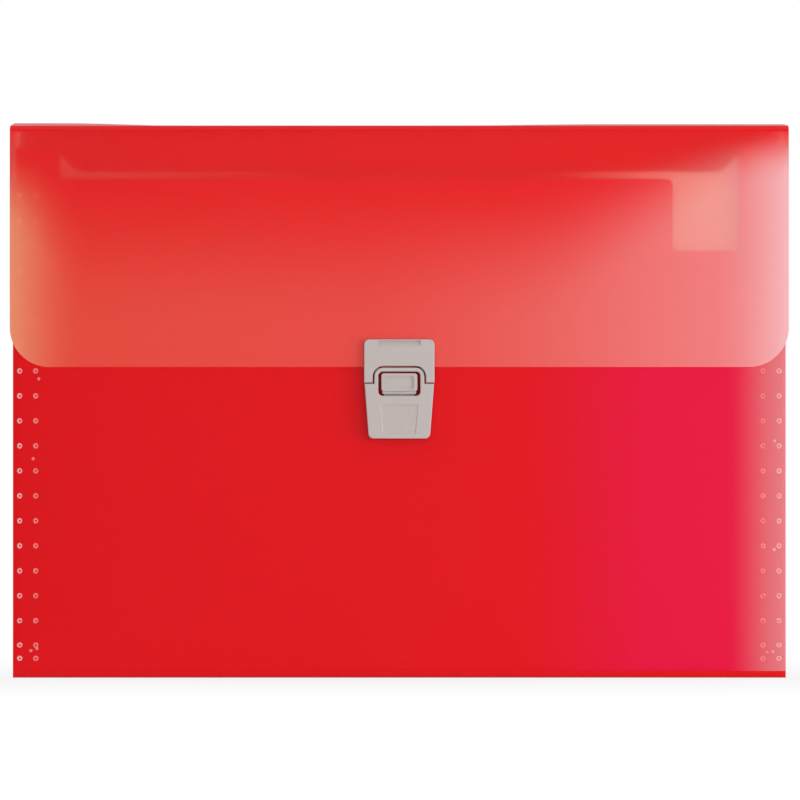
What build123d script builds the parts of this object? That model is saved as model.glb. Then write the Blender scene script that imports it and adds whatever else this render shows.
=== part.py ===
from build123d import *
import os

# Expanding file: a wallet of polypropylene sheet with pleated ends and a push clasp.
# It stands on its bottom spine. +Z is up, the front faces -Y, and the origin is the
# middle of the underside of everything, clasp included. All sizes are in millimetres.

# Cover sheet
body_width = 332.5
overall_height = 239.0
sheet = 0.8
fold_radius = 2.4
corner_radius = 2.0
hinge_gap = 0.2
edge_share = 0.45

# Flap and top spine: drops are measured down from the very top
flap_overhang = 1.25
flap_corner = 17.0
flap_gap = 2.5
flap_crease_drop = 3.4
score_drop = 1.5
score_setback = 1.8
spine_corner = 2.6

# Front panel
front_drop = 24.4
front_corner = 3.0
notch_width = 29.7
notch_depth = 31.0
notch_corner = 2.0
notch_overlap = 1.0

# Pockets: dividers and pleated gussets
pocket_count = 6
pocket_gap = 4.6
divider_sheet = 0.5
divider_rise = 3.0
divider_clearance = 1.1
gusset_sheet = 0.4
gusset_depth = 19.2
gusset_drop = 11.0
gusset_clearance = 0.05
gusset_inset = 0.75
gusset_fold = 1.2
gusset_corner = 3.0
flange_width = 4.0
ramp_width = 8.0

# Clasp: both halves stand this far off the front panel, and meet on the split line
clasp_height = 6.3
clasp_width = 30.3
clasp_split = 126.7
upper_length = 18.9
lower_length = 23.8
clasp_bottom_width = 26.3
clasp_corner = 2.2
clasp_gap = 0.4
upper_setback = 0.5
edge_round = 0.5
flap_edge_rise = 7.0

# Button, and the window and raised arch that the lower half puts round it
button_width = 15.5
button_height = 7.8
button_drop = 3.5
button_corner = 1.2
button_back = 2.2
button_side_gap = 1.28
button_upper_gap = 0.7
button_lower_gap = 1.9
window_corner = 1.9
arch_side = 1.72
arch_bar = 1.7
arch_corner = 3.9
arch_clearance = 0.65
arch_bar_back = 3.4

# Button's dish, ledge and tongue, its two pins and the leaf spring behind it
dish_side_rim = 1.45
dish_upper_rim = 1.2
dish_depth = 1.0
dish_corner = 0.8
ledge_drop = 1.1
ledge_inset = 0.55
ledge_setback = 1.1
tongue_inset = 1.25
tongue_back = 1.3
tongue_thickness = 1.3
tongue_lap = 1.5
pivot_drop = 12.2
pivot_standoff = 1.9
foot_radius = 1.2
pin_radius = 0.7
pin_length = 1.2
pin_clearance = 0.05
spring_sheet = 0.25
spring_width = 6.0
spring_length = 6.0
spring_rise = 4.8
spring_clearance = 0.1

# Keeper frame behind the flap, and the catch nose that sits in its slot
keeper_thickness = 1.0
keeper_clearance = 0.3
keeper_bar = 2.8
keeper_rim = 2.5
nose_width = 8.0
nose_height = 2.2
nose_side_clearance = 0.5
nose_top_clearance = 1.3
nose_tip_gap = 0.4

# Plates and rivets: insets are measured in from the clasp's outline or the flap's edge
plate_thickness = 1.0
plate_inset = 0.55
rivet_radius = 1.0
rivet_clearance = 0.05
rivet_head_radius = 1.7
rivet_head = 0.45
rivet_bite = 1.6
rivet_side_inset = 2.55
lower_rivet_side_inset = 2.95
rivet_end_inset = 3.4
rivet_inner_inset = 2.9

# Hollow of the lower half, dotted panel and thumb scoop
cavity_clearance = 1.5
cavity_floor = 2.1
cavity_roof = 1.7
panel_rise = 2.1
panel_length = 12.5
panel_top_width = 16.5
panel_bottom_width = 14.4
panel_depth = 0.45
scoop_width = 18.4
scoop_rim = 0.55
scoop_length = 2.65
scoop_depth = 1.2

# Heights worked out from the very top and from the clasp's split line
score_height = overall_height - score_drop
flap_crease_height = overall_height - flap_crease_drop
flap_edge_height = clasp_split + flap_edge_rise
front_height = overall_height - front_drop
notch_bottom = front_height - notch_depth
divider_height = front_height + divider_rise
gusset_height = overall_height - gusset_drop
clasp_top = clasp_split + upper_length
clasp_bottom = clasp_split - lower_length

# The clasp's openings grow outwards from the button
button_bottom = clasp_split - button_drop
button_top = button_bottom + button_height
window_width = button_width + 2 * button_side_gap
window_bottom = button_bottom - button_lower_gap
window_top = button_top + button_upper_gap
arch_width = window_width + 2 * arch_side
arch_top = window_top + arch_bar
tongue_width = button_width - 2 * tongue_inset
cavity_width = tongue_width + 2 * cavity_clearance
pivot_height = clasp_split - pivot_drop

# Depths worked out from the stack of sheets and pockets
front_pocket_gap = pocket_gap + plate_thickness + rivet_head
gaps = [pocket_gap] * (pocket_count - 1) + [front_pocket_gap]
stack_depth = 2 * sheet + sum(gaps) + (pocket_count - 1) * divider_sheet
overall_depth = stack_depth + clasp_height
rear_face = overall_depth / 2
front_face = rear_face - stack_depth
flap_inner = front_face - flap_gap
flap_outer = flap_inner - sheet
flap_width = body_width + 2 * flap_overhang
spine_front = front_face + fold_radius
spine_rear = rear_face - fold_radius

# Crease lines, each the axis that a sheet turns about
lid_axis_y = rear_face - sheet / 2
lid_axis_z = overall_height - sheet / 2
flap_axis_y = flap_inner - sheet / 2
fan_axis_y = front_face + sheet / 2
fan_axis_z = fold_radius + hinge_gap + sheet / 2

os.makedirs("parts", exist_ok=True)


def at_depth(y):
    """Upright plane facing the front, at this y: x stays x, local y is height."""
    return Plane.XZ.offset(-y)


def keep(piece, name):
    """Label a finished piece and write its file."""
    piece.part.label = name
    export_step(piece.part, f"parts/{name}.step")


# Cover sheet: back panel, with a rounded upper edge that the lid crease turns about

with BuildPart() as back_panel:
    with BuildSketch(at_depth(rear_face)) as outline:
        with Locations((0, (fold_radius + overall_height) / 2)):
            Rectangle(body_width, overall_height - fold_radius)
        fillet(outline.vertices().group_by(Axis.Y)[-1], corner_radius)
    extrude(amount=sheet)
    fillet(back_panel.edges().filter_by(Axis.X).group_by(Axis.Z)[-1], edge_share * sheet)
keep(back_panel, "back_panel")

# Bottom spine: a shallow channel whose rounded sides lead up to the two panels

with BuildPart() as bottom_spine:
    with BuildSketch(Plane.YZ.offset(-body_width / 2)):
        with BuildLine():
            RadiusArc((rear_face, fold_radius), (spine_rear, 0), fold_radius)
            Line((spine_rear, 0), (spine_front, 0))
            RadiusArc((spine_front, 0), (front_face, fold_radius), fold_radius)
            offset(amount=sheet, side=Side.RIGHT, closed=True)
        make_face()
    extrude(amount=body_width)
    with BuildSketch(at_depth(rear_face)):
        with Locations((0, overall_height / 2)):
            RectangleRounded(body_width, overall_height, corner_radius)
    extrude(amount=stack_depth, mode=Mode.INTERSECT)
keep(bottom_spine, "bottom_spine")

# Front panel: a thumb notch at the right, and holes for the clasp's four rivets

panel_foot = fan_axis_z - sheet / 2
notch_x = body_width / 2 - gusset_inset - gusset_depth + notch_overlap - notch_width / 2
lower_rivets = [
    (side * x, z)
    for x, z in (
        (clasp_width / 2 - lower_rivet_side_inset, clasp_split - rivet_inner_inset),
        (clasp_bottom_width / 2 - rivet_side_inset, clasp_bottom + rivet_end_inset),
    )
    for side in (-1, 1)
]

with BuildPart() as front_panel:
    with BuildSketch(at_depth(fan_axis_y + sheet / 2)) as outline:
        with Locations((0, (panel_foot + front_height) / 2)):
            Rectangle(body_width, front_height - panel_foot)
        with Locations((notch_x, (notch_bottom + front_height) / 2)):
            Rectangle(notch_width, front_height - notch_bottom, mode=Mode.SUBTRACT)
        fillet(outline.vertices().group_by(Axis.Y)[-1], front_corner)
        fillet(outline.vertices().group_by(Axis.Y)[1], notch_corner)
        with Locations(*lower_rivets):
            Circle(rivet_radius + rivet_clearance, mode=Mode.SUBTRACT)
    extrude(amount=sheet)
    fillet(front_panel.edges().filter_by(Axis.X).group_by(Axis.Z)[0], edge_share * sheet)
keep(front_panel, "front_panel")

# Top spine: it rises gently to the rear and turns down over a scored facet to the flap

spine_start = lid_axis_y - sheet / 2 - hinge_gap
spine_end = flap_axis_y + sheet / 2 + hinge_gap
middle_line = [
    (lid_axis_y, lid_axis_z),
    (flap_axis_y + score_setback, score_height - sheet / 2),
    (flap_axis_y, flap_crease_height),
]

with BuildPart() as top_spine:
    with BuildSketch(Plane.YZ.offset(-flap_width / 2)):
        with BuildLine():
            Polyline(*middle_line)
            offset(amount=sheet / 2, side=Side.BOTH, kind=Kind.INTERSECTION)
        make_face()
        with Locations(((spine_start + spine_end) / 2, overall_height / 2)):
            Rectangle(spine_start - spine_end, overall_height, mode=Mode.INTERSECT)
    extrude(amount=flap_width)
    with BuildSketch(at_depth(rear_face)):
        with Locations((0, overall_height / 2)):
            RectangleRounded(flap_width, overall_height, spine_corner)
    extrude(amount=overall_depth, mode=Mode.INTERSECT)
keep(top_spine, "top_spine")

# Flap: large rounded corners below, a rounded upper edge on the crease

upper_rivets = [
    (side * (clasp_width / 2 - rivet_side_inset), z)
    for z in (flap_edge_height + rivet_inner_inset, clasp_top - rivet_end_inset)
    for side in (-1, 1)
]
flap_head = flap_crease_height + sheet / 2

with BuildPart() as flap:
    with BuildSketch(at_depth(flap_inner)) as outline:
        with Locations((0, (flap_edge_height + flap_head) / 2)):
            Rectangle(flap_width, flap_head - flap_edge_height)
        fillet(outline.vertices().group_by(Axis.Y)[0], flap_corner)
        with Locations(*upper_rivets):
            Circle(rivet_radius + rivet_clearance, mode=Mode.SUBTRACT)
    extrude(amount=sheet)
    fillet(flap.edges().filter_by(Axis.X).group_by(Axis.Z)[-1], edge_share * sheet)
keep(flap, "flap")

# Dividers: their ends rise in a ramp to be welded between the gusset's flanges

inner_fold = body_width / 2 - gusset_inset - gusset_depth
divider_foot = fold_radius + divider_clearance
divider_top = gusset_height - gusset_corner
divider_half = inner_fold + flange_width

divider_faces = []
face_y = rear_face - sheet
for gap in gaps[:-1]:
    face_y -= gap
    divider_faces.append(face_y)
    face_y -= divider_sheet

for number, face_y in enumerate(divider_faces, start=1):
    with BuildPart() as divider:
        with BuildSketch(at_depth(face_y)):
            with BuildLine():
                Polyline(
                    (0, divider_foot),
                    (divider_half, divider_foot),
                    (divider_half, divider_top),
                    (inner_fold, divider_top),
                    (inner_fold - ramp_width, divider_height),
                    (0, divider_height),
                    close=True,
                )
            make_face()
            mirror(about=Plane.YZ)
        extrude(amount=divider_sheet)
    keep(divider, f"divider_{number}")

# Gusset pleats: between two neighbouring sheets, a fold that points outwards. Flanges
# at its edges are welded to the dividers, and on the cover a wide flange lies flat.

outer_fold = inner_fold + gusset_depth
flange_end = inner_fold + flange_width
rear_sides = [rear_face - sheet] + [y - divider_sheet for y in divider_faces]

for number, (rear_y, gap) in enumerate(zip(rear_sides, gaps), start=1):
    behind = rear_y - gusset_clearance
    ahead = rear_y - gap + gusset_clearance
    middle = (behind + ahead) / 2
    at_back_panel = number == 1
    at_front_panel = number == pocket_count
    fold_rear = behind if at_back_panel else middle + gusset_fold / 2
    fold_front = ahead if at_front_panel else middle - gusset_fold / 2
    path = [(inner_fold, behind), (outer_fold, fold_rear)]
    if not at_back_panel:
        path.insert(1, (flange_end, behind))
    path += [(outer_fold, fold_front), (inner_fold, ahead)]
    if not at_front_panel:
        path.insert(-1, (flange_end, ahead))

    with BuildPart() as pleat:
        with BuildSketch(Plane.XY.offset(divider_foot)):
            with BuildLine():
                Polyline(*path)
                offset(amount=gusset_sheet, side=Side.RIGHT, kind=Kind.INTERSECTION)
            make_face()
        extrude(amount=gusset_height - divider_foot)
        with BuildSketch(at_depth(rear_face)) as silhouette:
            with Locations(((inner_fold + outer_fold) / 2, (divider_foot + gusset_height) / 2)):
                Rectangle(gusset_depth, gusset_height - divider_foot)
            fillet(silhouette.vertices().group_by(Axis.Y)[-1].sort_by(Axis.X)[0], gusset_corner)
        extrude(amount=stack_depth, mode=Mode.INTERSECT)
    keep(pleat, f"right_pleat_{number}")

    with BuildPart() as mirrored_pleat:
        add(pleat.part)
        mirror(about=Plane.YZ, mode=Mode.REPLACE)
    keep(mirrored_pleat, f"left_pleat_{number}")

# Lower half of the clasp: a tapered shell with a raised arch, and behind the flap a
# keeper frame. All one moulding, open at the back for the button's tongue.

clasp_front = front_face - clasp_height
lower_top = clasp_split - clasp_gap / 2
lower_top_width = clasp_width - clasp_gap
keeper_bar_bottom = arch_top + keeper_clearance
slot_bottom = keeper_bar_bottom + keeper_bar
nose_bottom = slot_bottom + nose_side_clearance
nose_top = nose_bottom + nose_height
slot_top = nose_top + nose_top_clearance
keeper_top = slot_top + keeper_rim
leg_gap = keeper_thickness + keeper_clearance
lower_outline = [
    (-lower_top_width / 2, lower_top),
    (lower_top_width / 2, lower_top),
    (clasp_bottom_width / 2, clasp_bottom),
    (-clasp_bottom_width / 2, clasp_bottom),
]
panel_bottom = clasp_bottom + panel_rise
panel_top = panel_bottom + panel_length
dotted_panel = [
    (-panel_top_width / 2, panel_top),
    (panel_top_width / 2, panel_top),
    (panel_bottom_width / 2, panel_bottom),
    (-panel_bottom_width / 2, panel_bottom),
]
pivot_y = front_face - pivot_standoff


def span(low, high):
    """Middle of a stretch of height, where a rectangle of that height is placed."""
    return Locations((0, (low + high) / 2))


with BuildPart() as lower_base:
    with BuildSketch(at_depth(front_face)) as shell:
        with BuildLine():
            Polyline(*lower_outline, close=True)
        make_face()
        fillet(shell.vertices().group_by(Axis.Y)[0], clasp_corner)
        with span(window_bottom, arch_top):
            Rectangle(arch_width, arch_top - window_bottom)
        fillet(shell.vertices().group_by(Axis.Y)[-1], arch_corner)
        with span(window_bottom, window_top):
            RectangleRounded(
                window_width, window_top - window_bottom, window_corner, mode=Mode.SUBTRACT
            )
    extrude(amount=clasp_height)
    fillet(lower_base.faces().sort_by(Axis.Y)[0].edges(), edge_round)
    with BuildSketch(at_depth(front_face)):
        cavity_bottom = clasp_bottom + cavity_floor
        cavity_top = window_bottom + window_corner
        with span(cavity_bottom, cavity_top):
            Rectangle(cavity_width, cavity_top - cavity_bottom)
    extrude(amount=clasp_height - cavity_roof, mode=Mode.SUBTRACT)
    with BuildSketch(at_depth(front_face)):
        with span(window_top - window_corner, arch_top):
            Rectangle(window_width, arch_top - window_top + window_corner)
    extrude(amount=arch_bar_back, mode=Mode.SUBTRACT)
    with BuildSketch(at_depth(front_face)) as keeper:
        with span(window_bottom, keeper_top):
            Rectangle(arch_width, keeper_top - window_bottom)
        fillet(keeper.vertices().group_by(Axis.Y)[-1], edge_round)
        with span(window_bottom, keeper_bar_bottom):
            Rectangle(window_width, keeper_bar_bottom - window_bottom, mode=Mode.SUBTRACT)
        with span(slot_bottom, slot_top):
            Rectangle(
                nose_width + 2 * nose_side_clearance,
                slot_top - slot_bottom,
                mode=Mode.SUBTRACT,
            )
    extrude(amount=keeper_thickness)
    with BuildSketch(at_depth(front_face)):
        with Locations(*lower_rivets):
            Circle(rivet_radius + rivet_clearance)
    extrude(amount=rivet_bite + rivet_clearance, mode=Mode.SUBTRACT)
    with BuildSketch(Plane.YZ):
        with Locations((pivot_y, pivot_height)):
            Circle(pin_radius + pin_clearance)
    extrude(
        amount=cavity_width / 2 + pin_length + pin_clearance, both=True, mode=Mode.SUBTRACT
    )
    with BuildSketch(at_depth(clasp_front)):
        with BuildLine():
            Polyline(*dotted_panel, close=True)
        make_face()
    extrude(amount=-panel_depth, mode=Mode.SUBTRACT)
keep(lower_base, "clasp_lower_base")

# Backing plate inside the front panel, and the four rivets through it

plate_rear = front_face + sheet + plate_thickness

with BuildPart() as lower_backplate:
    with BuildSketch(at_depth(plate_rear)) as plate:
        with BuildLine():
            Polyline(*lower_outline, close=True)
        make_face()
        fillet(plate.vertices(), clasp_corner)
        offset(amount=-plate_inset)
        with Locations(*lower_rivets):
            Circle(rivet_radius + rivet_clearance, mode=Mode.SUBTRACT)
    extrude(amount=plate_thickness)
keep(lower_backplate, "clasp_lower_backplate")

with BuildPart() as lower_rivet_group:
    with BuildSketch(at_depth(plate_rear + rivet_head)):
        with Locations(*lower_rivets):
            Circle(rivet_head_radius)
    extrude(amount=rivet_head)
    fillet(lower_rivet_group.faces().group_by(Axis.Y)[-1].edges(), rivet_head / 2)
    with BuildSketch(at_depth(plate_rear)):
        with Locations(*lower_rivets):
            Circle(rivet_radius)
    extrude(amount=plate_thickness + sheet + rivet_bite)
keep(lower_rivet_group, "clasp_lower_rivets")

# Upper half: a plate on the flap, cut out to drop over the arch, with a thumb scoop. Its
# face lies a little behind the lower half's, so that the arch stands proud of it.

upper_bottom = clasp_split + clasp_gap / 2
cutout_width = arch_width + 2 * arch_clearance
cutout_top = arch_top + arch_clearance
upper_front = clasp_front + upper_setback
scoop_top = clasp_top - scoop_rim

with BuildPart() as upper_plate:
    with BuildSketch(at_depth(flap_outer)) as plate:
        with span(upper_bottom, clasp_top):
            Rectangle(clasp_width, clasp_top - upper_bottom)
        fillet(plate.vertices().group_by(Axis.Y)[-1], clasp_corner)
    extrude(amount=flap_outer - upper_front)
    with BuildSketch(at_depth(front_face - leg_gap)):
        leg_top = flap_edge_height - hinge_gap
        with span(upper_bottom, leg_top):
            Rectangle(clasp_width, leg_top - upper_bottom)
    extrude(amount=front_face - leg_gap - upper_front)
    with BuildSketch(at_depth(front_face)) as cutout:
        with span(upper_bottom, cutout_top):
            Rectangle(cutout_width, cutout_top - upper_bottom)
        fillet(cutout.vertices().group_by(Axis.Y)[-1], arch_corner + arch_clearance)
    extrude(amount=clasp_height, mode=Mode.SUBTRACT)
    fillet(upper_plate.faces().sort_by(Axis.Y)[0].edges(), edge_round)
    with BuildSketch(Plane.YZ):
        with BuildLine():
            Polyline(
                (upper_front, scoop_top - scoop_length),
                (upper_front, scoop_top),
                (upper_front + scoop_depth, scoop_top),
                close=True,
            )
        make_face()
    extrude(amount=scoop_width / 2, both=True, mode=Mode.SUBTRACT)
    with BuildSketch(at_depth(flap_outer)):
        with Locations(*upper_rivets):
            Circle(rivet_radius + rivet_clearance)
    extrude(amount=rivet_bite + rivet_clearance, mode=Mode.SUBTRACT)
keep(upper_plate, "clasp_upper_plate")

# Backing plate inside the flap: its catch nose dips into the keeper's slot

upper_plate_rear = flap_inner + plate_thickness
upper_plate_bottom = flap_edge_height + plate_inset
upper_plate_top = clasp_top - plate_inset

with BuildPart() as upper_backplate:
    with BuildSketch(at_depth(upper_plate_rear)):
        with span(upper_plate_bottom, upper_plate_top):
            RectangleRounded(
                clasp_width - 2 * plate_inset,
                upper_plate_top - upper_plate_bottom,
                clasp_corner - plate_inset,
            )
        with Locations(*upper_rivets):
            Circle(rivet_radius + rivet_clearance, mode=Mode.SUBTRACT)
    extrude(amount=plate_thickness)
    with BuildSketch(at_depth(upper_plate_rear)):
        with span(nose_bottom, nose_top):
            Rectangle(nose_width, nose_height)
    extrude(amount=-(flap_gap - plate_thickness - nose_tip_gap))
keep(upper_backplate, "clasp_upper_backplate")

with BuildPart() as upper_rivet_group:
    with BuildSketch(at_depth(upper_plate_rear + rivet_head)):
        with Locations(*upper_rivets):
            Circle(rivet_head_radius)
    extrude(amount=rivet_head)
    fillet(upper_rivet_group.faces().group_by(Axis.Y)[-1].edges(), rivet_head / 2)
    with BuildSketch(at_depth(upper_plate_rear)):
        with Locations(*upper_rivets):
            Circle(rivet_radius)
    extrude(amount=plate_thickness + sheet + rivet_bite)
keep(upper_rivet_group, "clasp_upper_rivets")

# Push button: a dished pad on a tongue, rocking on two pins behind the shell

ledge_bottom = button_bottom - ledge_drop
tongue_top = button_bottom + tongue_lap

with BuildPart() as button:
    with BuildSketch(at_depth(front_face - button_back)):
        with span(button_bottom, button_top):
            RectangleRounded(button_width, button_height, button_corner)
    extrude(amount=clasp_height - button_back)
    fillet(button.faces().sort_by(Axis.Y)[0].edges(), edge_round)
    with BuildSketch(at_depth(clasp_front)):
        with span(button_bottom, button_top):
            RectangleRounded(
                button_width - 2 * dish_side_rim,
                button_height - 2 * dish_upper_rim,
                dish_corner,
            )
    extrude(amount=-dish_depth, mode=Mode.SUBTRACT)
    with BuildSketch(at_depth(front_face - tongue_back)):
        with span(ledge_bottom, tongue_top):
            Rectangle(button_width - 2 * ledge_inset, tongue_top - ledge_bottom)
    extrude(amount=clasp_height - ledge_setback - tongue_back)
    with BuildSketch(at_depth(front_face - tongue_back)):
        with span(pivot_height, tongue_top):
            Rectangle(tongue_width, tongue_top - pivot_height)
    extrude(amount=tongue_thickness)
    with BuildSketch(Plane.YZ):
        with Locations((pivot_y, pivot_height)):
            Circle(foot_radius)
    extrude(amount=tongue_width / 2, both=True)
    with BuildSketch(Plane.YZ):
        with Locations((pivot_y, pivot_height)):
            Circle(pin_radius)
    extrude(amount=cavity_width / 2 + pin_length, both=True)
keep(button, "clasp_button")

# Return spring: a bowed leaf between the button's tongue and the front panel

spring_height = pivot_height + spring_rise
spring_foot_y = front_face - spring_clearance - spring_sheet
spring_crown_y = front_face - tongue_back + spring_clearance

with BuildPart() as spring:
    with BuildSketch(Plane.YZ):
        with BuildLine():
            ThreePointArc(
                (spring_foot_y, spring_height - spring_length / 2),
                (spring_crown_y, spring_height),
                (spring_foot_y, spring_height + spring_length / 2),
            )
            offset(amount=spring_sheet, side=Side.RIGHT)
        make_face()
    extrude(amount=spring_width / 2, both=True)
keep(spring, "clasp_spring")
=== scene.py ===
"""Expanding file of frosted red polypropylene with pleated ends and a light grey clasp.

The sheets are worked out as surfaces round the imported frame, in metres: +Z is up and the
front faces -Y. The clasp's mouldings keep their own solids and get their finish here.
"""

import bpy
import bmesh
import numpy as np
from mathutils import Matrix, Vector


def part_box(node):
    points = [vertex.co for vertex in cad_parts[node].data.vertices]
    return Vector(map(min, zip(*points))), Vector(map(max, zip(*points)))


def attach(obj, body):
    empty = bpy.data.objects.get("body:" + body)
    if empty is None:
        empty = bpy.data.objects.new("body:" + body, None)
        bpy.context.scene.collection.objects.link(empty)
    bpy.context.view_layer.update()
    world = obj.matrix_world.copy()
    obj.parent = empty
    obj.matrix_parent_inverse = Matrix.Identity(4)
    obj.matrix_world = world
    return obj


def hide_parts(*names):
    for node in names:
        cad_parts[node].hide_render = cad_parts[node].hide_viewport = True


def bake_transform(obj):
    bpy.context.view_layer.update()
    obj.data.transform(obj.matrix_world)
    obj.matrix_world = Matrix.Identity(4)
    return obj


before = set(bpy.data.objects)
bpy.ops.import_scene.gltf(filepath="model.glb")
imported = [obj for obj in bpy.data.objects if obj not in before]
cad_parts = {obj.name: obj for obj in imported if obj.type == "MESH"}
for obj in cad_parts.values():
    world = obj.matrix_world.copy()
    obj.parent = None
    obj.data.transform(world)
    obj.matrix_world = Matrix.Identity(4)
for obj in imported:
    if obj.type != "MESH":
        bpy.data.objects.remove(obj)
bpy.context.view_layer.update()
mm = 0.001

# Cover sheet, rear part: bottom spine, back panel and top spine are one die-cut sheet of
# frosted red polypropylene, 0.8 mm thick. Its bends are living hinges pressed in hot. It
# runs from the front bottom crease under and up the back, then forward to the score line.

sheet = 0.8 * mm
fold_radius = 2.4 * mm
bead = 0.3 * mm
crease_radius = 1.0 * mm
score_drop = 1.5 * mm
score_setback = 1.8 * mm
crease_drop = 3.4 * mm
score_groove = 0.12 * mm
body_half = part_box("back_panel")[1].x
weld_rise = 0.12 * mm
rear_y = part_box("back_panel")[1].y - weld_rise
front_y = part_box("front_panel")[0].y
flap_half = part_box("flap")[1].x
flap_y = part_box("flap")[0].y
top_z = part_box("top_spine")[1].z
spine_corner = 2.6 * mm
groove_half = 0.5 * mm
groove_lip = 0.02 * mm
rows_per_bend = 8
columns = 96
top_sag = 1.3 * mm
sag_left = (-145 * mm, -85 * mm)
sag_right = (0, 90 * mm)
sag_lost = 0.67
hang_height = 60 * mm


def linear(hex_colour):
    """sRGB hex to linear RGBA: each channel over 12.92 when dark, else a 2.4 power."""
    parts = np.array([int(hex_colour[i : i + 2], 16) / 255 for i in (1, 3, 5)])
    dark = parts / 12.92
    light = ((parts + 0.055) / 1.055) ** 2.4
    return (*np.where(parts <= 0.04045, dark, light), 1.0)


def add(tree, kind, inputs=(), **settings):
    """Adds a node with its settings; inputs are (socket, value or another node's output)."""
    made = tree.nodes.new(kind)
    for name, value in settings.items():
        setattr(made, name, value)
    for name, value in inputs:
        if isinstance(value, bpy.types.NodeSocket):
            tree.links.new(value, made.inputs[name])
        else:
            made.inputs[name].default_value = value
    return made


def smooth(low, high, x):
    """Smoothstep: 0 below low, 1 above high, 3t^2 - 2t^3 between."""
    t = np.clip((x - low) / (high - low), 0, 1)
    return t * t * (3 - 2 * t)


def arc(centre, radius, start, end, count=rows_per_bend):
    """(count, 2) points on a circle of (y, z), from one angle in degrees to another."""
    angle = np.radians(np.linspace(start, end, count))
    return np.stack([centre[0] + radius * np.cos(angle), centre[1] + radius * np.sin(angle)], 1)


def along(a, b, count):
    """(count, 2) points from a to b, ends left out."""
    t = np.linspace(0, 1, count + 2)[1:-1, None]
    return np.array(a) * (1 - t) + np.array(b) * t


def surface(name, grids, uvs, thickness, material, inward=-1.0, rim=0.12 * mm):
    """A sheet over each (rows, columns, 3) grid of points, welded where the grids meet.

    The grid is the outer face. Solidify gives the wall behind it, and a small bevel breaks
    the cut edges. uvs holds each grid's own (rows, columns, 2) lengths in metres.
    """
    points, faces, corners = [], [], []
    first = 0
    for grid in grids:
        rows, across = grid.shape[:2]
        index = first + np.arange(rows * across).reshape(rows, across)
        quad = [index[:-1, :-1], index[:-1, 1:], index[1:, 1:], index[1:, :-1]]
        faces.append(np.stack(quad, -1).reshape(-1, 4))
        points.append(grid.reshape(-1, 3))
        first += rows * across
    faces = np.concatenate(faces)
    flat_uv = np.concatenate([uv.reshape(-1, 2) for uv in uvs])
    mesh = bpy.data.meshes.new(name)
    mesh.from_pydata(np.concatenate(points).tolist(), [], faces.tolist())
    layer = mesh.uv_layers.new(name="sheet_uv")
    layer.data.foreach_set("uv", flat_uv[faces.ravel()].astype(np.float32).ravel())
    if len(grids) > 1:
        joined = bmesh.new()
        joined.from_mesh(mesh)
        bmesh.ops.remove_doubles(joined, verts=joined.verts, dist=1e-6)
        joined.to_mesh(mesh)
        joined.free()
    mesh.polygons.foreach_set("use_smooth", np.ones(len(mesh.polygons), bool))
    mesh.materials.append(material)
    piece = bpy.data.objects.new(name, mesh)
    bpy.context.scene.collection.objects.link(piece)
    wall = piece.modifiers.new("wall", "SOLIDIFY")
    wall.thickness = thickness
    wall.offset = inward
    edge = piece.modifiers.new("cut_edge", "BEVEL")
    edge.width = rim
    edge.segments = 2
    edge.limit_method = "ANGLE"
    edge.angle_limit = np.radians(50)
    return piece


def red_sheet(name, see_through, depth_colour, painted_sheens=()):
    """Frosted polypropylene: red through and through, with a fine pressed grain.

    The grain is 0.9 mm across, coarser than the real one so that it shows, and the finish
    is a little duller in clouds of 36 mm. Part of the light goes straight through
    scattered, which makes the sheet glow where light stands behind it. Each painted sheen
    is a colour that takes over along the sheet's own width, between two lengths: painted
    reflection and highlight of light from one side.
    """
    made = bpy.data.materials.new(name)
    made.use_nodes = True
    tree = made.node_tree
    tree.nodes.clear()
    place = add(tree, "ShaderNodeUVMap", uv_map="sheet_uv")
    grain = add(
        tree, "ShaderNodeTexNoise", [("Vector", place.outputs[0]), ("Scale", 1100.0), ("Detail", 2.0)]
    )
    cloud = add(
        tree, "ShaderNodeTexNoise", [("Vector", place.outputs[0]), ("Scale", 28.0), ("Detail", 3.0)]
    )
    bump = add(
        tree,
        "ShaderNodeBump",
        [("Height", grain.outputs["Fac"]), ("Strength", 0.15), ("Distance", 0.02 * mm)],
    )
    rough = add(
        tree,
        "ShaderNodeMapRange",
        [
            ("Value", cloud.outputs["Fac"]),
            ("From Min", 0.3),
            ("From Max", 0.7),
            ("To Min", 0.31),
            ("To Max", 0.34),
        ],
    )
    colour = linear(depth_colour)
    for sheen_colour, sheen_from, sheen_to in painted_sheens:
        split = add(tree, "ShaderNodeSeparateXYZ", [(0, place.outputs[0])])
        share = add(
            tree,
            "ShaderNodeMapRange",
            [("Value", split.outputs["X"]), ("From Min", sheen_from), ("From Max", sheen_to)],
            interpolation_type="SMOOTHSTEP",
        )
        sheen_mix = add(
            tree,
            "ShaderNodeMix",
            [("Factor", share.outputs["Result"]), ("A", colour), ("B", linear(sheen_colour))],
            data_type="RGBA",
        )
        colour = sheen_mix.outputs["Result"]
    face = add(
        tree,
        "ShaderNodeBsdfPrincipled",
        [
            ("Base Color", colour),
            ("Roughness", rough.outputs["Result"]),
            ("IOR", 1.49),
            ("Specular IOR Level", 0.3),
            ("Normal", bump.outputs["Normal"]),
        ],
    )
    glow = add(tree, "ShaderNodeBsdfTranslucent", [("Color", colour)])
    both = add(
        tree,
        "ShaderNodeMixShader",
        [(0, see_through), (1, face.outputs[0]), (2, glow.outputs[0])],
    )
    add(tree, "ShaderNodeOutputMaterial", [("Surface", both.outputs[0])])
    return made


def half_width(z):
    """Half the flap's width at height z, less a quarter circle in its upper corners."""
    into = np.clip(z - (top_z - spine_corner), 0, spine_corner)
    return flap_half - spine_corner + np.sqrt(spine_corner**2 - into**2)


def sag(x):
    """How far the rear crease hangs down at x: most left of the middle, least at the ends."""
    return top_sag * smooth(*sag_left, x) * (1 - sag_lost * smooth(*sag_right, x))


cover_red = red_sheet("frosted_red_polypropylene", 0.3, "#FA0818")

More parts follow.
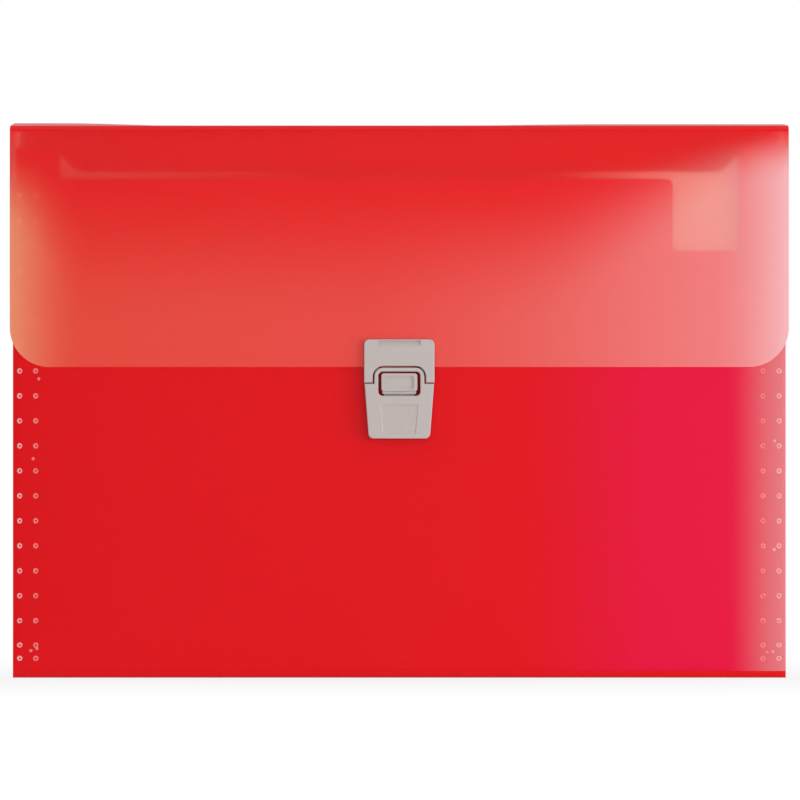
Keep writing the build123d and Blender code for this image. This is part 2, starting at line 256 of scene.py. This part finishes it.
score_y = flap_y + sheet / 2 + score_setback
score_z = top_z - score_drop
path = np.concatenate(
    [
        arc((front_y + bead, fold_radius + bead), bead, 90, 180, 5),
        arc((front_y + fold_radius, fold_radius), fold_radius, 180, 270),
        along((front_y + fold_radius, 0), (rear_y - fold_radius, 0), 6),
        arc((rear_y - fold_radius, fold_radius), fold_radius, -90, 0),
        along((rear_y, fold_radius), (rear_y, top_z - crease_radius), 60),
        arc((rear_y - crease_radius, top_z - crease_radius), crease_radius, 0, 90),
        along((rear_y - crease_radius, top_z), (score_y, score_z), 12),
        [(score_y + groove_half, score_z + groove_lip), (score_y, score_z - score_groove)],
    ]
)
walked = np.concatenate([[0], np.cumsum(np.hypot(*np.diff(path, axis=0).T))])
on_spine = (path[:, 0] < rear_y - 0.9 * crease_radius) & (path[:, 1] > top_z / 2)
half = np.where(on_spine, half_width(path[:, 1]), body_half)
across = np.linspace(-1, 1, columns)
x = half[:, None] * across
y = np.repeat(path[:, :1], columns, 1)
z = np.repeat(path[:, 1:], columns, 1)
hang = smooth(top_z - hang_height, top_z, z) * (1 - smooth(rear_y, score_y, y) * (y < rear_y))
z = z - sag(x) * hang
rear_grid = np.stack([x, y, z], -1)[:, ::-1]
rear_uv = np.stack([x, np.repeat(walked[:, None], columns, 1)], -1)[:, ::-1]
rear_cover = surface("cover_back_and_spines", [rear_grid], [rear_uv], sheet, cover_red)
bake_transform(rear_cover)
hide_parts("back_panel", "bottom_spine", "top_spine")

# Flap: the front end of the same sheet, a narrow scored facet and then the flap proper. A
# single frosted layer, so what lies behind shows softly through it. It bows outwards
# between its crease and the clasp, and its free corners stand off a little more.

flap_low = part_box("flap")[0].z
flap_corner = 17.0 * mm
crease_z = top_z - crease_drop
flap_steps = 90
flap_bow = 1.3 * mm
bow_at_clasp = 0.75
free_reach = 90 * mm
corner_lift = 0.9 * mm
clasp_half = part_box("clasp_upper_plate")[1].x
# Painted sheen on the flap: an even share, more towards the right, and more at both ends.
sheen_everywhere = 0.042
sheen_rightwards = 0.14
sheen_left_end = 0.19
sheen_right_end = 0.18
sheen_ends = 135 * mm
sheen_end_width = 32 * mm

turned = np.linspace(0, np.pi, flap_steps)
flap_rows = crease_z - (crease_z - flap_low) * (1 - np.cos(turned)) / 2
facet = along((score_y, score_z - score_groove), (flap_y + 0.3 * mm, crease_z + 0.35 * mm), 4)
path = np.concatenate(
    [
        [(score_y, score_z - score_groove)],
        facet,
        [(flap_y + 0.12 * mm, crease_z + 0.05 * mm)],
        np.stack([np.full(flap_steps - 1, flap_y), flap_rows[1:]], 1),
    ]
)
walked = np.concatenate([[0], np.cumsum(np.hypot(*np.diff(path, axis=0).T))])
from_edge = np.clip(flap_corner - (path[:, 1] - flap_low), 0, flap_corner)
half = half_width(path[:, 1]) - flap_corner + np.sqrt(flap_corner**2 - from_edge**2)
x = half[:, None] * across
z = np.repeat(path[:, 1:], columns, 1)
down = np.clip((crease_z - z) / (crease_z - flap_low), 0, 1)
free = smooth(clasp_half, clasp_half + free_reach, np.abs(x))
bow = flap_bow * np.sin(np.pi * down) * (bow_at_clasp + (1 - bow_at_clasp) * free)
y = path[:, :1] - (bow + corner_lift * down**2 * free)
flap_grid = np.stack([x, y, z], -1)[:, ::-1]
flap_uv = np.stack([x, np.repeat(walked[:, None], columns, 1)], -1)[:, ::-1]


def single_layer(name):
    """One layer of the same sheet with nothing behind it.

    Part of it is clear enough to show what lies behind, blurred and tinted, and the rest is
    the red of the sheet itself. Where painted sheen lies on it, the red share turns pale and
    takes over: painted light, warmer towards the left end.
    """
    made = bpy.data.materials.new(name)
    made.use_nodes = True
    tree = made.node_tree
    tree.nodes.clear()
    place = add(tree, "ShaderNodeUVMap", uv_map="sheet_uv")
    grain = add(
        tree, "ShaderNodeTexNoise", [("Vector", place.outputs[0]), ("Scale", 1100.0), ("Detail", 2.0)]
    )
    bump = add(
        tree,
        "ShaderNodeBump",
        [("Height", grain.outputs["Fac"]), ("Strength", 0.15), ("Distance", 0.02 * mm)],
    )
    painted_sheen = add(tree, "ShaderNodeAttribute", attribute_name="painted_sheen")
    share = add(
        tree,
        "ShaderNodeMapRange",
        [("Value", painted_sheen.outputs["Fac"]), ("To Min", 0.4), ("To Max", 1.0)],
    )
    painted_sheen_whiteness = add(
        tree,
        "ShaderNodeMath",
        [(0, painted_sheen.outputs["Fac"]), (1, share.outputs["Result"])],
        operation="DIVIDE",
    )
    split = add(tree, "ShaderNodeSeparateXYZ", [(0, place.outputs[0])])
    sheen_warm_to_cool = add(
        tree,
        "ShaderNodeMapRange",
        [("Value", split.outputs["X"]), ("From Min", -flap_half), ("From Max", flap_half)],
    )
    # Painted sheen colour: warm pale at the left end, cool pale at the right.
    pale = add(
        tree,
        "ShaderNodeMix",
        [("Factor", sheen_warm_to_cool.outputs["Result"]), ("A", linear("#FFF0B4")), ("B", linear("#FFF8FF"))],
        data_type="RGBA",
    )
    tint_with_painted_sheen = add(
        tree,
        "ShaderNodeMix",
        [("Factor", painted_sheen_whiteness.outputs[0]), ("A", linear("#F40A16")), ("B", pale.outputs["Result"])],
        data_type="RGBA",
    )
    clear = add(
        tree,
        "ShaderNodeBsdfPrincipled",
        [
            ("Base Color", linear("#FCECDC")),
            ("Roughness", 0.3),
            ("IOR", 1.4),
            ("Specular IOR Level", 0.2),
            ("Transmission Weight", 1.0),
            ("Normal", bump.outputs["Normal"]),
        ],
    )
    dense = add(
        tree,
        "ShaderNodeBsdfPrincipled",
        [
            ("Base Color", tint_with_painted_sheen.outputs["Result"]),
            ("Roughness", 0.33),
            ("IOR", 1.49),
            ("Specular IOR Level", 0.3),
            ("Normal", bump.outputs["Normal"]),
        ],
    )
    both = add(
        tree,
        "ShaderNodeMixShader",
        [(0, share.outputs["Result"]), (1, clear.outputs[0]), (2, dense.outputs[0])],
    )
    ray = add(tree, "ShaderNodeLightPath")
    passed = add(tree, "ShaderNodeBsdfTransparent", [("Color", linear("#FFECE8"))])
    room_lit = add(
        tree,
        "ShaderNodeMixShader",
        [(0, ray.outputs["Is Diffuse Ray"]), (1, both.outputs[0]), (2, passed.outputs[0])],
    )
    lamp_lit = add(
        tree,
        "ShaderNodeMixShader",
        [(0, ray.outputs["Is Shadow Ray"]), (1, room_lit.outputs[0]), (2, passed.outputs[0])],
    )
    add(tree, "ShaderNodeOutputMaterial", [("Surface", lamp_lit.outputs[0])])
    return made


flap = surface(
    "flap_sheet",
    [flap_grid],
    [flap_uv],
    sheet,
    single_layer("frosted_red_single_layer_painted_sheen"),
    rim=0.2 * mm,
)
flap.data.materials.append(cover_red)
middles = (z[1:, 1:] + z[:-1, 1:]) / 2
flap.data.polygons.foreach_set("material_index", (middles > crease_z).astype(np.int32).ravel())

# The painted sheen is a sum of powers of x: painted light that grows to the right and at
# both ends. It sets in below the crease, higher up where outer is 1.
outer = np.maximum(smooth(50 * mm, 165 * mm, x), 0.6 * smooth(-130 * mm, -168 * mm, x))
sheen_towards_right = np.clip((x + 21 * mm) / (187 * mm), 0, 1)
left_end_sheen = np.clip((-sheen_ends - x) / sheen_end_width, 0, 1)
right_end_sheen = np.clip((x - sheen_ends) / sheen_end_width, 0, 1)
painted_sheen = sheen_everywhere + sheen_rightwards * sheen_towards_right**1.5
painted_sheen = painted_sheen + sheen_left_end * left_end_sheen**2 + sheen_right_end * right_end_sheen**2
painted_sheen = painted_sheen * smooth(0.2 - 0.2 * outer, 0.85 - 0.65 * outer, down)
painted_sheen = painted_sheen[:, ::-1]
sheen_amount = flap.data.attributes.new("painted_sheen", "FLOAT", "POINT")
sheen_amount.data.foreach_set("value", painted_sheen.astype(np.float32).ravel())
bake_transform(flap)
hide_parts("flap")

# Front panel: the other end of the cover sheet, standing up from the front bottom crease.
# Its upper edge has rounded ends and a thumb notch punched out at the right. Its side
# edges are drawn back a little where the gussets are welded on.

panel_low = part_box("front_panel")[0].z + bead
panel_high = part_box("front_panel")[1].z
front_corner = 3.0 * mm
notch_width = 29.7 * mm
notch_depth = 31.0 * mm
notch_corner = 2.0 * mm
notch_overlap = 1.0 * mm
inner_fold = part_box("right_pleat_3")[0].x
outer_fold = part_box("right_pleat_3")[1].x
notch_right = inner_fold + notch_overlap
notch_left = notch_right - notch_width
notch_low = panel_high - notch_depth
edge_curl = 1.9 * mm
curl_start = 118 * mm
curl_foot = 30 * mm
low_count = 60
wide_columns = 80
narrow_columns = 12


def curl(x, z):
    """How far the panel's face lies back at x and z: it grows as a square to both side edges."""
    out = np.clip((np.abs(x) - curl_start) / (body_half - curl_start), 0, 1)
    return edge_curl * out**2 * smooth(0, curl_foot, z)


def quarter(height, radius):
    """Inset of a rounded corner: 0 for height over radius, radius where height is 0."""
    into = np.clip(radius - height, 0, radius)
    return radius - np.sqrt(radius**2 - into**2)


def patch(left, right, heights, count):
    """Grid between a left and a right edge, each one x for every height."""
    share = np.linspace(0, 1, count)
    x = left[:, None] + (right - left)[:, None] * share
    z = np.repeat(heights[:, None], count, 1)
    return np.stack([x, front_y + curl(x, z), z], -1)


def rounded_rows(low, high, low_radius, high_radius, count):
    """Heights from low to high, closer together in the rounded corners at both ends."""
    turn = np.linspace(0, np.pi / 2, 7)
    foot = low + low_radius * (1 - np.cos(turn))
    head = high - high_radius * (1 - np.cos(turn[::-1]))
    return np.concatenate([foot, np.linspace(foot[-1], head[0], count)[1:-1], head])


low_rows = np.linspace(panel_low, notch_low, low_count)
high_rows = rounded_rows(notch_low, panel_high, notch_corner, front_corner, 12)
ends = np.full(low_count, body_half)
left_x = np.full(low_count, notch_left + notch_corner)
right_x = np.full(low_count, notch_right - notch_corner)
notch_round = quarter(high_rows - notch_low, notch_corner)
edge_round = quarter(panel_high - high_rows, front_corner)
tall_left = -body_half + edge_round
tall_right = notch_left + notch_round - edge_round
ear_left = notch_right - notch_round + edge_round
ear_right = body_half - edge_round
grids = [
    patch(-ends, left_x, low_rows, wide_columns),
    patch(left_x, right_x, low_rows, narrow_columns),
    patch(right_x, ends, low_rows, narrow_columns),
    patch(tall_left, tall_right, high_rows, wide_columns),
    patch(ear_left, ear_right, high_rows, narrow_columns),
]
# Painted reflection and sheen: crimson over the right half, pale pink at the right edge.
front_red = red_sheet(
    "frosted_red_polypropylene_painted_sheen",
    0.3,
    "#FA0818",
    painted_sheens=[("#FC0848", 45 * mm, 115 * mm), ("#F8949A", 141 * mm, 170 * mm)],
)
front_uvs = [grid[..., [0, 2]] for grid in grids]
front_panel = surface("front_sheet", grids, front_uvs, sheet, front_red, rim=0.05 * mm)
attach(front_panel, "front")
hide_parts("front_panel")

# Gussets: two accordions of thin frosted sheet, one pleat between each two neighbouring
# sheets. Every pleat folds outwards, and its flanges are welded flat to what it joins.

gusset_sheet = 0.4 * mm
gusset_corner = 3.0 * mm
flange_width = 4.0 * mm
fold_half = 0.6 * mm
pleat_step = 1.6 * mm
pleat_rows = 60
gusset_red = red_sheet("thin_red_polypropylene", 0.4, "#FA0818")


def ridge(behind, ahead, at_back, at_front):
    """(n, 2) points of x past the inner fold and y, round one pleat from rear to front."""
    middle = (behind + ahead) / 2
    depth = outer_fold - inner_fold
    bend_rear = behind if at_back else middle + fold_half
    bend_front = ahead if at_front else middle - fold_half
    points = [(0, behind), (flange_width, behind), (depth, bend_rear)]
    points += [(depth, bend_front), (flange_width, ahead), (0, ahead)]
    points = np.array(points)
    if at_back:
        points = np.delete(points, 1, 0)
    if at_front:
        points = np.delete(points, -2, 0)
    dense = [points[:1]]
    for a, b in zip(points[:-1], points[1:]):
        count = max(1, int(round(np.hypot(*(b - a)) / pleat_step)))
        t = np.linspace(0, 1, count + 1)[1:, None]
        dense.append(a * (1 - t) + b * t)
    return np.concatenate(dense)


for number in range(1, 7):
    low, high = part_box(f"right_pleat_{number}")
    section = ridge(high.y, low.y, number == 1, number == 6)
    travelled = np.concatenate([[0], np.cumsum(np.hypot(*np.diff(section, axis=0).T))])
    peak = high.z - quarter(section[:, 0], gusset_corner)
    share = np.linspace(0, 1, pleat_rows)[:, None]
    z = low.z + (peak - low.z) * share
    y = np.repeat(section[None, :, 1], pleat_rows, 0)
    x = np.repeat(section[None, :, 0], pleat_rows, 0) + inner_fold
    if number == 6:
        y = y + curl(x, z) * (high.y - y) / (high.y - low.y)
    for side, word in ((1, "right"), (-1, "left")):
        grid = np.stack([side * x, y, z], -1)
        uv = np.stack([np.repeat(travelled[None], pleat_rows, 0), z], -1)
        if side > 0:
            grid, uv = grid[:, ::-1], uv[:, ::-1]
        pleat = surface(
            f"gusset_{word}_{number}",
            [grid],
            [uv],
            gusset_sheet,
            gusset_red,
            rim=0.05 * mm,
        )
        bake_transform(pleat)
        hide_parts(f"{word}_pleat_{number}")

# Dividers: plain sheets of the same polypropylene, cut with a ramp up to each gusset. They
# hang between the flanges of the pleats. Thin and frosted, they are half see-through.

right_sheen_fade = (notch_left - 62 * mm, notch_left + 5 * mm)
left_sheen_fade = (-30 * mm, -125 * mm)


def thin_sheet(name):
    """Thin frosted sheet, red and partly open, with painted sheen: paler and denser at both ends.

    The red varies a little in clouds of 17 mm.
    """
    made = bpy.data.materials.new(name)
    made.use_nodes = True
    tree = made.node_tree
    tree.nodes.clear()
    place = add(tree, "ShaderNodeTexCoord")
    split = add(tree, "ShaderNodeSeparateXYZ", [(0, place.outputs["Object"])])
    right = add(
        tree,
        "ShaderNodeMapRange",
        [("Value", split.outputs["X"]), ("From Min", right_sheen_fade[0]), ("From Max", right_sheen_fade[1])],
        interpolation_type="SMOOTHSTEP",
    )
    left = add(
        tree,
        "ShaderNodeMapRange",
        [
            ("Value", split.outputs["X"]),
            ("From Min", left_sheen_fade[0]),
            ("From Max", left_sheen_fade[1]),
            ("To Max", 0.3),
        ],
    )
    # Painted sheen: pale light painted on, full at the right end, up to a third at the left.
    painted_sheen_ends = add(
        tree,
        "ShaderNodeMath",
        [(0, right.outputs["Result"]), (1, left.outputs["Result"])],
        operation="MAXIMUM",
    )
    cloud = add(
        tree, "ShaderNodeTexNoise", [("Vector", place.outputs["Object"]), ("Scale", 60.0), ("Detail", 3.0)]
    )
    red = add(
        tree,
        "ShaderNodeMix",
        [("Factor", cloud.outputs["Fac"]), ("A", linear("#EA2C28")), ("B", linear("#E22420"))],
        data_type="RGBA",
    )
    tint_with_painted_sheen = add(
        tree,
        "ShaderNodeMix",
        [("Factor", painted_sheen_ends.outputs[0]), ("A", red.outputs["Result"]), ("B", linear("#FFF2EC"))],
        data_type="RGBA",
    )
    density = add(
        tree,
        "ShaderNodeMapRange",
        [("Value", painted_sheen_ends.outputs[0]), ("To Min", 0.5), ("To Max", 0.95)],
    )
    face = add(
        tree,
        "ShaderNodeBsdfPrincipled",
        [("Base Color", tint_with_painted_sheen.outputs["Result"]), ("Roughness", 0.5), ("IOR", 1.49)],
    )
    through = add(tree, "ShaderNodeBsdfTransparent")
    both = add(
        tree,
        "ShaderNodeMixShader",
        [(0, density.outputs["Result"]), (1, through.outputs[0]), (2, face.outputs[0])],
    )
    add(tree, "ShaderNodeOutputMaterial", [("Surface", both.outputs[0])])
    return made


divider_red = thin_sheet("half_clear_polypropylene_painted_sheen")
for number in range(1, 6):
    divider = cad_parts[f"divider_{number}"]
    divider.data.materials.clear()
    divider.data.materials.append(divider_red)

# Weld rings: the gussets are spot-welded to the cover all the way up both ends, in two
# columns. Each weld is a small raised ring of plastic that has turned pale from the heat.

ring_outer = 1.2 * mm
ring_inner = 0.45 * mm
stray_outer = 0.7 * mm
weld_columns = (163.3 * mm, 156.4 * mm)
weld_pitch = 10.75 * mm
weld_second = 14.0 * mm
weld_foot = 8.3 * mm
weld_row_low = 24.5 * mm
weld_clear = 4 * mm
ring_sides = 12
ring_bands = 4


def rings(name, centres, face_y, side, material, inner=ring_inner, outer=ring_outer):
    """One low ring at each (x, z): radius from inner to outer, height a half sine between."""
    turn = np.linspace(0, 2 * np.pi, ring_sides + 1)
    out = np.linspace(0, 1, ring_bands + 1)
    radius = inner + (outer - inner) * out
    rise = weld_rise * np.sin(np.pi * out)
    x = centres[:, 0, None, None] + radius[None, :, None] * np.cos(turn)
    z = centres[:, 1, None, None] + radius[None, :, None] * np.sin(turn)
    y = face_y[:, None, None] + side * rise[None, :, None] + 0 * x
    points = np.stack([x, y, z], -1)[:, :, :-1].reshape(-1, 3)
    counts = [np.arange(n) for n in (len(centres), ring_bands, ring_sides)]
    ring, row, step = np.meshgrid(*counts, indexing="ij")
    start = (ring * (ring_bands + 1) + row) * ring_sides
    after = (step + 1) % ring_sides
    quad = [start + step, start + after, start + ring_sides + after, start + ring_sides + step]
    faces = np.stack(quad, -1).reshape(-1, 4)
    if side < 0:
        faces = faces[:, ::-1]
    mesh = bpy.data.meshes.new(name)
    mesh.from_pydata(points.tolist(), [], faces.tolist())
    mesh.polygons.foreach_set("use_smooth", np.ones(len(faces), bool))
    mesh.materials.append(material)
    made = bpy.data.objects.new(name, mesh)
    bpy.context.scene.collection.objects.link(made)
    return made


def whitened(name):
    """Heat-whitened weld: the red sheet gone pale, palest in the outer column.

    It varies over 1.4 mm, so that no two rings look the same.
    """
    made = bpy.data.materials.new(name)
    made.use_nodes = True
    tree = made.node_tree
    tree.nodes.clear()
    place = add(tree, "ShaderNodeTexCoord")
    spread = add(
        tree, "ShaderNodeTexNoise", [("Vector", place.outputs["Object"]), ("Scale", 700.0), ("Detail", 2.0)]
    )
    split = add(tree, "ShaderNodeSeparateXYZ", [(0, place.outputs["Object"])])
    out = add(tree, "ShaderNodeMath", [(0, split.outputs["X"])], operation="ABSOLUTE")
    column = add(
        tree,
        "ShaderNodeMapRange",
        [
            ("Value", out.outputs[0]),
            ("From Min", weld_columns[1] + 2 * mm),
            ("From Max", weld_columns[0] - 2 * mm),
        ],
    )
    inner = add(
        tree,
        "ShaderNodeMix",
        [("Factor", spread.outputs["Fac"]), ("A", linear("#EE5854")), ("B", linear("#FF9C98"))],
        data_type="RGBA",
    )
    outer = add(
        tree,
        "ShaderNodeMix",
        [("Factor", spread.outputs["Fac"]), ("A", linear("#F47C7A")), ("B", linear("#FFC8C6"))],
        data_type="RGBA",
    )
    pale = add(
        tree,
        "ShaderNodeMix",
        [
            ("Factor", column.outputs["Result"]),
            ("A", inner.outputs["Result"]),
            ("B", outer.outputs["Result"]),
        ],
        data_type="RGBA",
    )
    face = add(
        tree, "ShaderNodeBsdfPrincipled", [("Base Color", pale.outputs["Result"]), ("Roughness", 0.5)]
    )
    add(tree, "ShaderNodeOutputMaterial", [("Surface", face.outputs[0])])
    return made


weld_white = whitened("heat_whitened_polypropylene")
weld_row = np.arange(weld_row_low, panel_high - weld_clear, weld_pitch)
weld_heights = np.append(weld_row, [weld_second, weld_foot])
stray_welds = {
    "left": np.array([(-155.1, 128.6), (-157.5, 94.2), (-158.5, 11.6), (-155.9, 12.5)]) * mm,
    "right": np.array([(161.4, 101.9), (161.3, 55.2), (160.7, 11.2), (158.1, 10.8)]) * mm,
}
for side, word in ((1, "right"), (-1, "left")):
    spots = np.array([(side * x, z) for x in weld_columns for z in weld_heights])
    stray = stray_welds[word]
    face_y = front_y + curl(spots[:, 0], spots[:, 1])
    front_rings = rings(f"front_welds_{word}", spots, face_y, -1, weld_white)
    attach(front_rings, "front")
    stray_rings = rings(
        f"stray_welds_{word}",
        stray,
        front_y + curl(stray[:, 0], stray[:, 1]),
        -1,
        weld_white,
        inner=0.02 * mm,
        outer=stray_outer,
    )
    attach(stray_rings, "front")
    rear_rings = rings(f"rear_welds_{word}", spots, np.full(len(spots), rear_y), 1, weld_white)
    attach(rear_rings, "back")

# Clasp: five mouldings in one light warm grey plastic, satin from a finely eroded mould.
# The rivets are the same plastic, and the leaf spring behind the button is blued steel.


def moulded(name, colour, roughness, metallic=0.0):
    """Satin moulded plastic or plain metal, with a fine even grain 0.4 mm across.
    Its pink specular tint is a painted reflection of the red sheets round it.
    """
    made = bpy.data.materials.new(name)
    made.use_nodes = True
    tree = made.node_tree
    tree.nodes.clear()
    place = add(tree, "ShaderNodeTexCoord")
    grain = add(
        tree, "ShaderNodeTexNoise", [("Vector", place.outputs["Object"]), ("Scale", 2500.0), ("Detail", 2.0)]
    )
    bump = add(
        tree,
        "ShaderNodeBump",
        [("Height", grain.outputs["Fac"]), ("Strength", 0.2), ("Distance", 0.02 * mm)],
    )
    face = add(
        tree,
        "ShaderNodeBsdfPrincipled",
        [
            ("Base Color", linear(colour)),
            ("Roughness", roughness),
            ("Metallic", metallic),
            # Painted reflection: the pink specular tint stands in for red light from the sheets.
            ("Specular Tint", linear("#FFD8E6")),
            ("Normal", bump.outputs["Normal"]),
        ],
    )
    add(tree, "ShaderNodeOutputMaterial", [("Surface", face.outputs[0])])
    return made


grey = moulded("satin_grey_abs", "#C3BBB7", 0.45)
steel = moulded("blued_spring_steel", "#4A4D52", 0.35, metallic=1.0)
for name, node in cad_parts.items():
    if name.startswith("clasp_"):
        node.data.materials.clear()
        node.data.materials.append(steel if name == "clasp_spring" else grey)

# Dotted panel: the lower half has a shallow tray moulded in its face, with sloping sides
# and a field of low pips in staggered rows, to push against with the thumb.

tray_rise = 2.1 * mm
tray_length = 12.5 * mm
tray_top_width = 16.5 * mm
tray_bottom_width = 14.4 * mm
tray_depth = 0.42 * mm
tray_slope = 0.4 * mm
pip_pitch = 1.29 * mm
pip_rise = 0.2 * mm
tray_rows = 84
tray_columns = 112
tray_seat = 0.005 * mm
tray_wall = 0.02 * mm

clasp_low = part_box("clasp_lower_base")[0]
up = np.linspace(0, 1, tray_rows)[:, None]
half = (tray_bottom_width + (tray_top_width - tray_bottom_width) * up) / 2
x = half * np.linspace(-1, 1, tray_columns)
z = clasp_low.z + tray_rise + tray_length * up + 0 * x
from_side = np.minimum(half - np.abs(x), np.minimum(up, 1 - up) * tray_length)
sunk = smooth(0, tray_slope, from_side)
lattice = np.cos(np.pi * (x + z) / pip_pitch) * np.cos(np.pi * (x - z) / pip_pitch)
pips = pip_rise * np.abs(lattice) ** 3 * smooth(tray_slope, 2 * tray_slope, from_side)
y = clasp_low.y + tray_seat + tray_depth * sunk - pips
tray_grid = np.stack([x, y, z], -1)
tray = surface("dotted_panel", [tray_grid], [tray_grid[..., [0, 2]]], tray_wall, grey, rim=0.005 * mm)
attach(tray, "front")

# Studio: a pale floor just under the object, white to the camera but with the object's own
# shadow on it. From below it isn't there, so that the underside can be seen.


def studio_white(name):
    """White to every ray that shows a background, duller near the object for its shadow."""
    made = bpy.data.materials.new(name)
    made.use_nodes = True
    tree = made.node_tree
    tree.nodes.clear()
    ray = add(tree, "ShaderNodeLightPath")
    seen = add(
        tree,
        "ShaderNodeMath",
        [(0, ray.outputs["Is Camera Ray"]), (1, ray.outputs["Is Glossy Ray"])],
        operation="MAXIMUM",
    )
    seen_all = add(
        tree,
        "ShaderNodeMath",
        [(0, seen.outputs[0]), (1, ray.outputs["Is Transmission Ray"])],
        operation="MAXIMUM",
    )
    place = add(tree, "ShaderNodeTexCoord")
    away = add(tree, "ShaderNodeVectorMath", [(0, place.outputs["Object"])], operation="LENGTH")
    share = add(
        tree,
        "ShaderNodeMapRange",
        [
            ("Value", away.outputs["Value"]),
            ("From Min", 0.2),
            ("From Max", 0.7),
            ("To Min", 0.8),
            ("To Max", 1.0),
        ],
    )
    strength = add(
        tree,
        "ShaderNodeMapRange",
        [("Value", seen_all.outputs[0]), ("To Min", 0.4), ("To Max", 1.0)],
    )
    white = add(tree, "ShaderNodeEmission", [("Strength", strength.outputs["Result"])])
    dull = add(tree, "ShaderNodeBsdfDiffuse", [("Color", (0.9, 0.9, 0.9, 1))])
    some = add(
        tree,
        "ShaderNodeMixShader",
        [(0, share.outputs["Result"]), (1, dull.outputs[0]), (2, white.outputs[0])],
    )
    side = add(tree, "ShaderNodeNewGeometry")
    through = add(tree, "ShaderNodeBsdfTransparent")
    one_sided = add(
        tree,
        "ShaderNodeMixShader",
        [(0, side.outputs["Backfacing"]), (1, some.outputs[0]), (2, through.outputs[0])],
    )
    add(tree, "ShaderNodeOutputMaterial", [("Surface", one_sided.outputs[0])])
    return made


floor_half = 6.0
floor_z = -0.1 * mm
corners = [(-floor_half, -floor_half), (floor_half, -floor_half)]
corners += [(floor_half, floor_half), (-floor_half, floor_half)]
floor_mesh = bpy.data.meshes.new("floor")
floor_mesh.from_pydata([(*corner, floor_z) for corner in corners], [], [(0, 1, 2, 3)])
floor_mesh.materials.append(studio_white("white_studio_floor"))
floor = bpy.data.objects.new("floor", floor_mesh)
bpy.context.scene.collection.objects.link(floor)

world = bpy.data.worlds.new("studio")
bpy.context.scene.world = world
world.use_nodes = True
tree = world.node_tree
tree.nodes.clear()
ray = add(tree, "ShaderNodeLightPath")
way = add(tree, "ShaderNodeTexCoord")
split = add(tree, "ShaderNodeSeparateXYZ", [(0, way.outputs["Generated"])])
room = add(
    tree,
    "ShaderNodeMapRange",
    [
        ("Value", split.outputs["Y"]),
        ("From Min", -0.2),
        ("From Max", 0.3),
        ("To Min", 0.05),
        ("To Max", 1.0),
    ],
)
soft = add(
    tree,
    "ShaderNodeMapRange",
    [
        ("Value", split.outputs["Y"]),
        ("From Min", 0.2),
        ("From Max", 0.8),
        ("To Min", 0.62),
        ("To Max", 1.25),
    ],
)
fill = add(
    tree,
    "ShaderNodeMix",
    [
        ("Factor", ray.outputs["Is Glossy Ray"]),
        ("A", soft.outputs["Result"]),
        ("B", room.outputs["Result"]),
    ],
    data_type="FLOAT",
)
seen = add(
    tree,
    "ShaderNodeMath",
    [(0, ray.outputs["Is Camera Ray"]), (1, ray.outputs["Is Transmission Ray"])],
    operation="MAXIMUM",
)
level = add(
    tree,
    "ShaderNodeMix",
    [("Factor", seen.outputs[0]), ("A", fill.outputs[0]), ("B", 1.0)],
    data_type="FLOAT",
)
sky = add(tree, "ShaderNodeBackground", [("Color", (1, 1, 1, 1)), ("Strength", level.outputs[0])])
add(tree, "ShaderNodeOutputWorld", [("Surface", sky.outputs[0])])


def softbox(name, place, aim, width, height, power, colour):
    """A rectangular lamp at place, turned to face aim."""
    lamp = bpy.data.lights.new(name, "AREA")
    lamp.shape = "RECTANGLE"
    lamp.size = width
    lamp.size_y = height
    lamp.energy = power
    lamp.color = linear(colour)[:3]
    made = bpy.data.objects.new(name, lamp)
    bpy.context.scene.collection.objects.link(made)
    away = Vector(aim) - Vector(place)
    made.location = place
    made.rotation_euler = away.to_track_quat("-Z", "Y").to_euler()
    made.visible_camera = False
    return made


body_middle = (0, 0, 0.12)
front_light = softbox("front_light", (0.35, -1.6, 0.25), body_middle, 1.6, 0.5, 8.4, "#FFFFFF")
front_light.visible_glossy = False
front_light.visible_transmission = False
side_light = softbox("side_light", (1.25, -0.85, 0.12), body_middle, 0.5, 0.3, 6.6, "#FFFFFF")
side_light.visible_transmission = False
sheen_light = softbox("low_sheen_light", (0.9, -0.3, 0.08), (0.1, 0, 0.13), 0.4, 0.12, 3.5, "#A4E2C8")
sheen_light.visible_diffuse = False

# Camera: straight on from far off, with the flap 779 of the frame's 800 pixels wide. It
# stands a little to the right, which puts the flap in the frame where the photograph has it.

camera_distance = 9.0
camera_aside = 0.3 * mm
flap_pixels = 779
frame_pixels = 800
camera = bpy.data.cameras.new("camera")
camera.sensor_width = 36.0
camera.lens = camera.sensor_width * camera_distance / (2 * flap_half * frame_pixels / flap_pixels)
viewpoint = bpy.data.objects.new("camera", camera)
bpy.context.scene.collection.objects.link(viewpoint)
viewpoint.location = (camera_aside, flap_y - camera_distance, top_z / 2)
viewpoint.rotation_euler = (np.pi / 2, 0, 0)
bpy.context.scene.camera = viewpoint
bpy.context.scene.view_settings.view_transform = "Standard"
